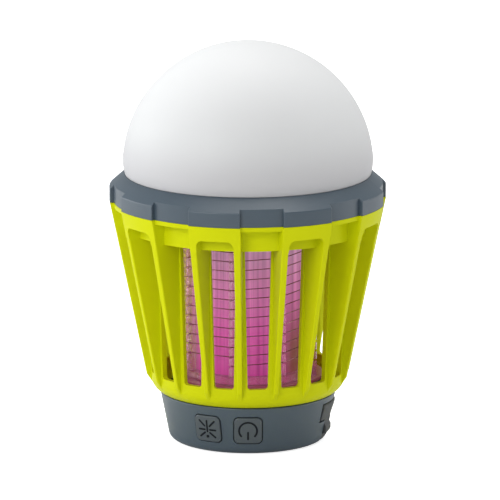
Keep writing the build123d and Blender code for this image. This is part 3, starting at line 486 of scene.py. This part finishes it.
def glowing_tube(name, stops, strength):
    """Frosted plastic lit from behind, streaked upright, with a brownish painted shade low down beside the
    lamps.
    """
    material = moulded(name, stops[0][1], roughness=0.32, shade=0.03, glow=strength)
    tree = material.node_tree
    shader = tree.nodes["Principled BSDF"]
    place = add_node(tree, "ShaderNodeTexCoord")
    parts = add_node(tree, "ShaderNodeSeparateXYZ")
    height = add_node(tree, "ShaderNodeMapRange", {"From Min": tube_low.z, "From Max": tube_high.z})
    colours = ramp(tree, stops)
    squeezed = add_node(tree, "ShaderNodeMapping", {"Scale": (1.0, 1.0, 0.015)})
    streaks = add_node(tree, "ShaderNodeTexNoise", {"Scale": 700.0, "Detail": 3.0, "Roughness": 0.7})
    tone = add_node(tree, "ShaderNodeMapRange",
                    {"From Min": 0.3, "From Max": 0.7, "To Min": 0.7, "To Max": 1.35})
    glow = add_node(tree, "ShaderNodeVectorMath", operation="SCALE")
    tree.links.new(place.outputs["Object"], parts.inputs[0])
    tree.links.new(parts.outputs["Z"], height.inputs["Value"])
    tree.links.new(height.outputs["Result"], colours.inputs["Fac"])
    tree.links.new(place.outputs["Object"], squeezed.inputs["Vector"])
    tree.links.new(squeezed.outputs["Vector"], streaks.inputs["Vector"])
    tree.links.new(streaks.outputs["Fac"], tone.inputs["Value"])
    tree.links.new(colours.outputs["Color"], glow.inputs[0])
    tree.links.new(tone.outputs["Result"], glow.inputs["Scale"])
    facing = add_node(tree, "ShaderNodeMath", operation="ABSOLUTE")
    tree.links.new(parts.outputs["Y"], facing.inputs[0])
    beside = falling_off(tree, facing.outputs[0], full=0.35 * tube_high.x, none=0.8 * tube_high.x)
    low = falling_off(tree, height.outputs["Result"], full=0.15, none=0.6)
    unlit = add_node(tree, "ShaderNodeMath", operation="MULTIPLY")
    tree.links.new(beside, unlit.inputs[0])
    tree.links.new(low, unlit.inputs[1])
    shown = add_node(tree, "ShaderNodeMix", {"B": PAINTED_SHADE_BROWN}, data_type="RGBA")
    tree.links.new(unlit.outputs[0], shown.inputs["Factor"])
    tree.links.new(glow.outputs[0], shown.inputs["A"])
    tree.links.new(shown.outputs[2], shader.inputs["Emission Color"])
    tree.links.new(shown.outputs[2], next(n for n in tree.nodes if n.type == "GROUP").inputs["Colour"])
    return material


# painted shade: the brown that the tube's glow and colour turn to low down at its sides, where the lamps
# inside hardly reach
PAINTED_SHADE_BROWN = (0.17, 0.045, 0.03, 1.0)
TUBE_STOPS = [(0.0, (0.4, 0.045, 0.22)), (0.3, (0.44, 0.065, 0.26)), (0.65, (0.43, 0.15, 0.3)),
              (1.0, (0.38, 0.25, 0.36))]
finishes["violet_tube"] = glowing_tube("glowing tube", TUBE_STOPS, strength=0.6)
print("tube height in mm:", round((tube_high.z - tube_low.z) / MM, 1))

# %% [markdown]
# ## Dress the CAD parts
# Every CAD part came in with the name of its finish in its material slot. Swapping the slot's
# material for the one built here changes only the look and leaves the mesh alone.

# %% Give each part its finish
for node in frame["nodes"].values():
    for material_slot in node.material_slots:
        material_slot.material = finishes[material_slot.material.name]
frame["nodes"]["base_deck"].material_slots[0].material = finishes["deck_plastic"]
print("dressed:", len(frame["nodes"]))

# %% [markdown]
# ## From bmesh to a finished piece
# The new pieces below are all shaped in bmesh, so one helper ends each of them: it joins doubled
# points, turns every face outwards, marks sharp edges by angle and smooths the rest, and then
# makes the piece ride on the body of the lantern that it belongs to.

# %% Helper that finishes a piece
JOIN_DISTANCE = 0.002 * MM


def finish_piece(bm, name, body, slot, crease=35.0, stands_for=()):
    """Turn a bmesh into a smooth-shaded piece that rides on a body."""
    bmesh.ops.remove_doubles(bm, verts=bm.verts, dist=JOIN_DISTANCE)
    bmesh.ops.recalc_face_normals(bm, faces=bm.faces)
    mesh = bpy.data.meshes.new(name)
    bm.to_mesh(mesh)
    bm.free()
    mesh.shade_smooth()
    mesh.set_sharp_from_angle(angle=radians(crease))
    mesh.materials.append(finishes[slot])
    made = bpy.data.objects.new(name, mesh)
    bpy.context.scene.collection.objects.link(made)
    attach(made, body)
    if stands_for:
        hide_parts(*stands_for)
    print(name, "faces:", len(mesh.polygons))
    return made


def arc(bm, start, centre, swing, steps):
    """Swing a point in the XZ plane round a centre by degrees, leaving a line; gives the last point."""
    swung = bmesh.ops.spin(bm, geom=[start], cent=centre, axis=(0, 1, 0), angle=radians(swing), steps=steps)
    return next(item for item in swung["geom_last"] if isinstance(item, bmesh.types.BMVert))


def run_to(bm, start, place):
    """Draw a straight line from a point to a place; gives the new point."""
    drawn = bmesh.ops.extrude_vert_indiv(bm, verts=[start])["verts"][0]
    drawn.co = place
    return drawn


def turn_full(bm, steps):
    """Spin everything drawn so far once round the lantern's axis."""
    bmesh.ops.spin(bm, geom=bm.verts[:] + bm.edges[:], cent=(0, 0, 0), axis=(0, 0, 1), angle=tau,
                   steps=steps, use_merge=True)


# %% [markdown]
# ## The dome
# The dome is a blown or moulded ball of milky plastic, cut low, whose side rolls in to a rim and
# drops as a short ring into the collar. A sphere cut in two would miss the rolled rim, so its
# outline is drawn as two arcs and two short runs, spun once round the axis, and given its wall
# with solidify. The close spacing of the spin keeps the silhouette round.

# %% Spin the dome
DOME_R = 40.7 * MM
ROLL_R = 14.0 * MM
ROLL_START_Z = 93.5 * MM
DOME_WALL = 1.8 * MM
DOME_FOOT_R = 39.6 * MM
DOME_RIM_RISE = 0.1 * MM      # the rim ends this far above the collar
DOME_SIDE_STEPS = 40
DOME_ROLL_STEPS = 12
DOME_TURN_STEPS = 128
collar_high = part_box("collar")[1]


def make_dome():
    """Ball, rolled rim and foot ring, with an even wall."""
    ball_z = dome_high.z - DOME_R
    drop = ROLL_START_Z - ball_z
    bm = bmesh.new()
    top = bm.verts.new((0, 0, dome_high.z))
    side_angle = atan2(drop, sqrt(DOME_R ** 2 - drop ** 2))
    side = arc(bm, top, (0, 0, ball_z), 90.0 - degrees(side_angle), DOME_SIDE_STEPS)
    inward = 1 - ROLL_R / DOME_R
    roll_centre = Vector((side.co.x * inward, 0, ball_z + drop * inward))
    rim_z = collar_high.z + DOME_RIM_RISE
    roll_end = atan2(rim_z - roll_centre.z, sqrt(ROLL_R ** 2 - (rim_z - roll_centre.z) ** 2))
    rim = arc(bm, side, roll_centre, degrees(side_angle - roll_end), DOME_ROLL_STEPS)
    step = run_to(bm, rim, (DOME_FOOT_R, 0, rim.co.z))
    run_to(bm, step, (DOME_FOOT_R, 0, dome_low.z))
    turn_full(bm, DOME_TURN_STEPS)
    bmesh.ops.remove_doubles(bm, verts=bm.verts, dist=JOIN_DISTANCE)
    bmesh.ops.recalc_face_normals(bm, faces=bm.faces)
    bmesh.ops.solidify(bm, geom=bm.faces[:], thickness=DOME_WALL)
    return finish_piece(bm, "frosted_dome", "shell", "frosted_plastic", crease=50, stands_for=["dome"])


make_dome()

# %% [markdown]
# ## The fluted tube
# The light tube is extruded with shallow upright flutes, which is why its glow looks streaked.
# The flutes could be a bump, but as real shape they also catch the lamps on the left. A circle
# has every second point pulled in, is drawn upright, and gets its wall with solidify.

# %% Extrude the tube
FLUTES = 72
FLUTE_DEPTH = 0.18 * MM
TUBE_WALL = 1.5 * MM


def make_tube():
    """Fluted tube between the deck and the lamp plate."""
    radius = tube_high.x
    bm = bmesh.new()
    rim = bmesh.ops.create_circle(bm, segments=2 * FLUTES, radius=radius)["verts"]
    inner = [point for index, point in enumerate(rim) if index % 2]
    bmesh.ops.scale(bm, verts=inner, vec=(1 - FLUTE_DEPTH / radius, 1 - FLUTE_DEPTH / radius, 1))
    bmesh.ops.translate(bm, verts=rim, vec=(0, 0, tube_low.z))
    raised = bmesh.ops.extrude_edge_only(bm, edges=bm.edges[:])["geom"]
    points = [item for item in raised if isinstance(item, bmesh.types.BMVert)]
    bmesh.ops.translate(bm, verts=points, vec=(0, 0, tube_high.z - tube_low.z))
    bmesh.ops.recalc_face_normals(bm, faces=bm.faces)
    bmesh.ops.solidify(bm, geom=bm.faces[:], thickness=TUBE_WALL)
    return finish_piece(bm, "fluted_tube", "base", "violet_tube", crease=60, stands_for=["light_tube"])


make_tube()

# %% [markdown]
# ## Signs on the two buttons
# Each button has a sign sunk into its face and filled with dark paint: the usual power sign, and
# a plain insect for the zapper. The fill is a thin flat shape bent onto the button's cone. It is
# drawn flat first, as (across, up), because strokes are easy there, and a short function then
# wraps every point onto the cone, just proud of the button.

# %% Paint for the signs
BUTTON_Z = 8.4 * MM
BASE_EDGE_R = 28.6 * MM       # the base's radius at its shoulder
BASE_EDGE_Z = 16.0 * MM
BASE_SLOPE = 0.2
PAINT_OUT = 0.53 * MM         # the paint stands this far outside the base, just proud of the button
PAINT_T = 0.2 * MM
STROKE = 0.6 * MM
STROKE_FACES = 6              # along a stroke, so that it can bend
DOT_STEPS = 16
button_angles = {}
for joint in frame["joints"]:
    if joint["child"] in ("power", "zap"):
        button_angles[joint["child"]] = atan2(-joint["axis"][0], joint["axis"][1])
finishes["sign_paint"] = moulded("sign paint", (0.008, 0.01, 0.013), roughness=0.6, specular=0.1)


def wrap_on_button(bm, facing):
    """Bend a flat drawing, in x across and z up, onto the base's cone at an angle from the front."""
    for point in bm.verts:
        across, up = point.co.x, point.co.z
        radius = BASE_EDGE_R - (BASE_EDGE_Z - up) * BASE_SLOPE + PAINT_OUT
        depth = sqrt(radius ** 2 - across ** 2)
        point.co = Vector((across, -depth, up))
    bmesh.ops.rotate(bm, verts=bm.verts, cent=(0, 0, 0), matrix=Matrix.Rotation(facing, 3, "Z"))


def stroke(bm, start, end):
    """Straight stroke between two (across, up) points of the drawing, in mm, with round ends."""
    first, last = (Vector((across * MM, 0, up * MM)) for across, up in (start, end))
    run = last - first
    middle = (first + last) / 2 + Vector((0, 0, BUTTON_Z))
    turn = Matrix.Rotation(-atan2(run.z, run.x), 4, "Y")
    flat = Matrix.Translation(middle) @ turn @ Matrix.Rotation(radians(90), 4, "X")
    strip = bmesh.ops.create_grid(bm, x_segments=STROKE_FACES, y_segments=1, size=0.5)["verts"]
    bmesh.ops.scale(bm, verts=strip, vec=(run.length, STROKE, 1))
    bmesh.ops.transform(bm, verts=strip, matrix=flat)
    for place in (start, end):
        dot(bm, place, STROKE / 2)


def dot(bm, place, radius):
    """Round dot of the drawing, at (across, up) in mm."""
    middle = (place[0] * MM, 0, place[1] * MM + BUTTON_Z)
    spot = Matrix.Translation(middle) @ Matrix.Rotation(radians(90), 4, "X")
    bmesh.ops.create_circle(bm, cap_ends=True, segments=DOT_STEPS, radius=radius, matrix=spot)


print("button angles:", {body: round(degrees(angle), 1) for body, angle in button_angles.items()})

# %% [markdown]
# The power sign is three quarters of a ring, swung from a short edge, and a bar through its gap.
# It stands upside down on the lantern because the lantern is used hanging from its hook. The
# insect is a body, a dot for its head, and three straight legs on each side.

# %% Draw the two signs
RING_R = 2.9 * MM
RING_SWEEP = 270.0
RING_STEPS = 36
BAR = ((0, -0.6), (0, -2.9))          # in mm, as all the drawing's points
BODY = ((0, -1.0), (0, 2.7))
HEAD = (0, -2.6)
HEAD_R = 0.45 * MM
LEGS = [((0.9, 0.9), (2.7, 2.7)), ((0.9, -0.35), (2.9, -0.35)), ((0.9, -1.35), (2.7, -2.8))]


def make_power_sign():
    """Open ring with a bar, on the right button."""
    bm = bmesh.new()
    inner = bm.verts.new((RING_R - STROKE / 2, 0, BUTTON_Z))
    outer = bm.verts.new((RING_R + STROKE / 2, 0, BUTTON_Z))
    edge = bm.edges.new((inner, outer))
    to_gap = Matrix.Rotation(radians((360 - RING_SWEEP) / 2), 3, "Y")
    bmesh.ops.rotate(bm, verts=[inner, outer], cent=(0, 0, BUTTON_Z), matrix=to_gap)
    bmesh.ops.spin(bm, geom=[edge], cent=(0, 0, BUTTON_Z), axis=(0, 1, 0), angle=radians(-RING_SWEEP),
                   steps=RING_STEPS)
    stroke(bm, *BAR)
    wrap_on_button(bm, button_angles["power"])
    bmesh.ops.recalc_face_normals(bm, faces=bm.faces)
    bmesh.ops.solidify(bm, geom=bm.faces[:], thickness=PAINT_T)
    return finish_piece(bm, "power_sign", "power", "button_plastic")


def make_insect_sign():
    """Plain insect, on the left button."""
    bm = bmesh.new()
    stroke(bm, *BODY)
    dot(bm, HEAD, HEAD_R)
    for side in (-1, 1):
        for near, far in LEGS:
            stroke(bm, (side * near[0], near[1]), (side * far[0], far[1]))
    wrap_on_button(bm, button_angles["zap"])
    bmesh.ops.recalc_face_normals(bm, faces=bm.faces)
    bmesh.ops.solidify(bm, geom=bm.faces[:], thickness=PAINT_T)
    return finish_piece(bm, "insect_sign", "zap", "button_plastic")


for sign in (make_power_sign(), make_insect_sign()):
    sign.data.materials[0] = finishes["sign_paint"]

# %% [markdown]
# ## The rubber flap
# The flap over the charging socket is soft moulded rubber: a finger tab that swells outwards, a
# knuckle below it, and a small foot where the strap bends. Each is an outline swung a little way
# round the lantern's axis and closed at both ends, and every hard edge is then rounded, because
# rubber leaves its mould with soft edges. The plug on its back stays square enough to fit.

# %% Mould the flap
flap_low, flap_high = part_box("usb_flap")
TAB_HALF_W = (flap_high.y - flap_low.y) / 2
STRAP_HALF_W = 3.3 * MM
FOOT_HALF_W = 3.0 * MM
FLAP_STEPS = 16
SOFT_EDGE = 0.25 * MM
SOFT_STEPS = 3
SOFT_LEAST_TURN = 50          # edges that turn by fewer degrees stay as they are
PLUG_X = 25.5 * MM
PLUG_SIZE = (1.0 * MM, 7.3 * MM, 2.4 * MM)
# outlines of the flap's blocks, as (radius, z) in mm
FLAP_TAB = [(25.6, 8.0), (26.9, 8.0), (27.6, 10.2), (28.35, 12.5), (28.38, 13.1), (28.1, 13.6), (25.6, 13.6)]
FLAP_KNUCKLE = [(24.6, 3.2), (26.8, 3.2), (27.15, 3.9), (27.2, 5.4), (26.9, 6.1), (26.45, 6.7), (26.7, 8.2),
                (24.6, 8.2)]
FLAP_FOOT = [(24.6, 0.9), (25.2, 0.9), (25.5, 1.5), (25.5, 2.3), (25.25, 2.7), (24.9, 2.7), (24.9, 3.3),
             (24.6, 3.3)]


def swung_block(bm, outline, half_width):
    """Block from an outline of (radius, z) in mm, swung evenly about the +X direction."""
    half_angle = half_width / (max(radius for radius, z in outline) * MM)
    corners = [bm.verts.new((radius * MM, 0, z * MM)) for radius, z in outline]
    loop = [bm.edges.new(pair) for pair in zip(corners, corners[1:] + corners[:1])]
    bmesh.ops.rotate(bm, verts=corners, cent=(0, 0, 0), matrix=Matrix.Rotation(-half_angle, 3, "Z"))
    swung = bmesh.ops.spin(bm, geom=corners + loop, cent=(0, 0, 0), axis=(0, 0, 1), angle=2 * half_angle,
                           steps=FLAP_STEPS)
    last = [item for item in swung["geom_last"] if isinstance(item, bmesh.types.BMEdge)]
    for rim in (loop, last):
        bmesh.ops.contextual_create(bm, geom=rim)


def soften(bm, least_turn, width):
    """Round every edge that turns by more than an angle in degrees."""
    bmesh.ops.recalc_face_normals(bm, faces=bm.faces)
    hard = [edge for edge in bm.edges if edge.is_manifold and edge.calc_face_angle() > radians(least_turn)]
    bmesh.ops.bevel(bm, geom=hard, offset=width, segments=SOFT_STEPS, profile=0.5, affect="EDGES")


def make_flap():
    """Finger tab, knuckle and foot of soft rubber, with the plug behind."""
    bm = bmesh.new()
    swung_block(bm, FLAP_TAB, TAB_HALF_W)
    swung_block(bm, FLAP_KNUCKLE, STRAP_HALF_W)
    swung_block(bm, FLAP_FOOT, FOOT_HALF_W)
    soften(bm, SOFT_LEAST_TURN, SOFT_EDGE)
    socket_low, socket_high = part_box("usb_socket")
    plug_place = Matrix.Translation((PLUG_X, 0, (socket_low.z + socket_high.z) / 2))
    bmesh.ops.create_cube(bm, size=1.0, matrix=plug_place @ Matrix.Diagonal((*PLUG_SIZE, 1)))
    return finish_piece(bm, "rubber_flap", "flap", "flap_rubber", crease=50, stands_for=["usb_flap"])


make_flap()

# %% [markdown]
# ## Small things inside
# When the shell is lifted off, the lamp board shows. Each lamp has a drop of yellow phosphor gel,
# a little domed, and the two leads end in cones of solder. They are tiny, so they are plain
# squashed balls and cones, placed from the frame's own boxes so that they sit on what carries them.

# %% Add lamp gel and solder
LAMP_RING_R = 14.0 * MM
LAMP_COUNT = 8
GEL_R = 1.15 * MM
GEL_RISE = 0.35 * MM
ROUND_STEPS = 24
LEAD_R = 0.5 * MM
SOLDER_R = 1.0 * MM
SOLDER_H = 0.7 * MM
finishes["solder"] = metal("solder", (0.62, 0.62, 0.6), 0.3)


def make_gel():
    """Domed gel on every white lamp."""
    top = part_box("white_leds")[1].z
    places = [Vector((0, 0, top))]
    for step in range(LAMP_COUNT):
        angle = tau * (step + 0.5) / LAMP_COUNT
        places.append(Vector((LAMP_RING_R * cos(angle), LAMP_RING_R * sin(angle), top)))
    bm = bmesh.new()
    for place in places:
        squashed = Matrix.Translation(place) @ Matrix.Diagonal((GEL_R, GEL_R, GEL_RISE, 1))
        bmesh.ops.create_uvsphere(bm, u_segments=ROUND_STEPS, v_segments=ROUND_STEPS // 2,
                                  radius=1.0, matrix=squashed)
    return finish_piece(bm, "lamp_gel", "base", "led_yellow")


def make_solder():
    """Cones of solder where the two lamp leads come through the lamp board."""
    bm = bmesh.new()
    board_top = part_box("lamp_board")[1].z
    leads_low, leads_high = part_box("lamp_leads")
    for lead_y in (leads_low.y + LEAD_R, leads_high.y - LEAD_R):
        place = Matrix.Translation((0, lead_y, board_top + SOLDER_H / 2))
        bmesh.ops.create_cone(bm, cap_ends=True, segments=ROUND_STEPS, radius1=SOLDER_R, radius2=SOLDER_R / 2,
                              depth=SOLDER_H, matrix=place)
    made = finish_piece(bm, "lead_solder", "base", "socket_metal")
    made.data.materials[0] = finishes["solder"]
    return made


for small in (make_gel(), make_solder()):
    print(small.name, "top in mm:", round(max(v.co.z for v in small.data.vertices) / MM, 2))
